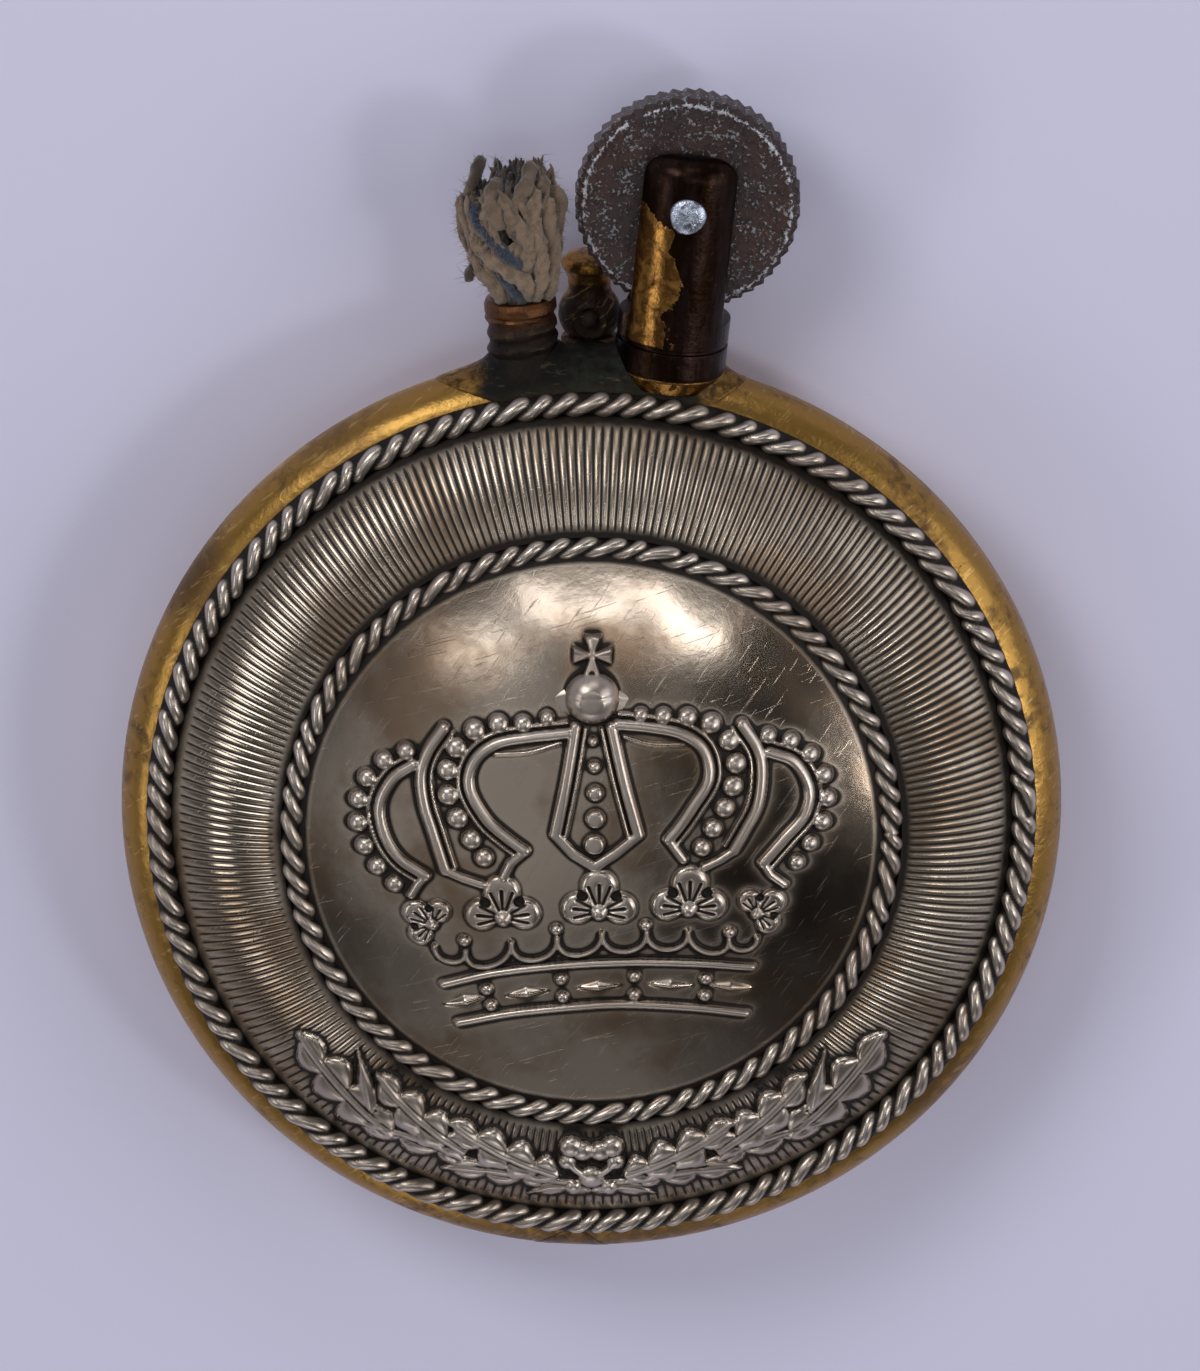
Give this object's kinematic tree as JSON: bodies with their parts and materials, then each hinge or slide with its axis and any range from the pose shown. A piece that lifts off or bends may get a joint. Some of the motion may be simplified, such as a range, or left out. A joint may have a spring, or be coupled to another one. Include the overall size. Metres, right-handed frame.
{
  "type": "trench lighter",
  "caption": "Round brass pocket petrol lighter with a domed stamped medallion, a threaded wick tube, a filler plug and a slotted post with a flint wheel.",
  "frame": {"origin": "centre of the flat in the middle of the back, on which the lighter lies", "axes": "+Z towards the flint wheel and the wick, -Y out of the medallion, +Y out of the back, +X to the right seen from the medallion"},
  "size_m": [0.0483, 0.0134, 0.0623],
  "materials": {
    "rim_brass": "aged gold-ochre brass with dark spots",
    "nickel_silver": "stamped nickel silver, bright on the crests and dark in the recesses",
    "dark_saddle": "soldered plate, nearly black with tarnish",
    "thread_brass": "copper-brown brass",
    "dark_brass": "brown tarnished brass",
    "post_brass": "polished gold where rubbed, dark brown where tarnished",
    "plug_brass": "turned brass",
    "wheel_steel": "pitted steel with rust-brown spots",
    "axle_steel": "bright worn steel",
    "spring_steel": "spring steel",
    "cotton": "beige cotton yarn, scorched at the tips",
    "wadding": "raw cotton",
    "leather": "oiled leather",
    "flint": "grey ferrocerium, which cast iron stands in for"
  },
  "bodies": {
    "lighter_body": {"tank_rear_shell": "rim_brass", "tank_front_shell": "rim_brass", "front_medallion": "nickel_silver", "saddle_plate": "dark_saddle", "wick_tube": "thread_brass", "wick_collar": "dark_brass", "cotton_wadding": "wadding", "filler_neck": "dark_brass", "striker_post": "post_brass", "striker_collar": "rim_brass", "flint_channel": "dark_brass", "wheel_axle": "axle_steel", "spring_screw_bush": "dark_brass"},
    "wheel": {"striker_wheel": "wheel_steel"},
    "wick": {"wick": "cotton"},
    "filler_washer": {"filler_washer": "leather"},
    "filler_plug": {"filler_plug": "plug_brass", "filler_cross_pin": "plug_brass"},
    "spring": {"flint_spring": "spring_steel"},
    "spring_screw": {"spring_screw": "plug_brass"},
    "flint": {"flint_pusher": "axle_steel", "flint": "flint"}
  },
  "joints": [
    {"name": "wheel_spin", "type": "hinge", "parent": "lighter_body", "child": "wheel", "pos_m": [0.00491, -0.006, 0.03245], "axis": [0, 1, 0], "continuous": true},
    {"name": "wick_feed", "type": "slide", "parent": "lighter_body", "child": "wick", "axis": [-0.0698, 0, 0.9976], "range_m": [0, 0.005]},
    {"name": "filler_rise", "type": "slide", "parent": "lighter_body", "child": "filler_washer", "axis": [0, 0, 1], "range_m": [0, 0.0024]},
    {"name": "filler_turn", "type": "hinge", "parent": "filler_washer", "child": "filler_plug", "pos_m": [-0.0001, -0.0032, 0.0254], "axis": [0, 0, 1], "range_deg": [0, 1440]},
    {"name": "spring_screw_travel", "type": "slide", "parent": "lighter_body", "child": "spring", "axis": [-0.1045, 0, -0.9945], "range_m": [0, 0.0025]},
    {"name": "spring_screw_turn", "type": "hinge", "parent": "spring", "child": "spring_screw", "pos_m": [-0.00098, -0.006, -0.0236], "axis": [-0.1045, 0, -0.9945], "range_deg": [0, 1800]},
    {"name": "flint_feed", "type": "slide", "parent": "spring", "child": "flint", "axis": [0.1045, 0, 0.9945], "range_m": [-0.003, 0], "stiffness_N_per_m": 40, "deforming": ["flint_spring"]}
  ],
  "couplings": [
    {"joint": "filler_turn", "follows": "filler_rise", "rad_per_m": 10472},
    {"joint": "spring_screw_turn", "follows": "spring_screw_travel", "rad_per_m": 12566}
  ]
}
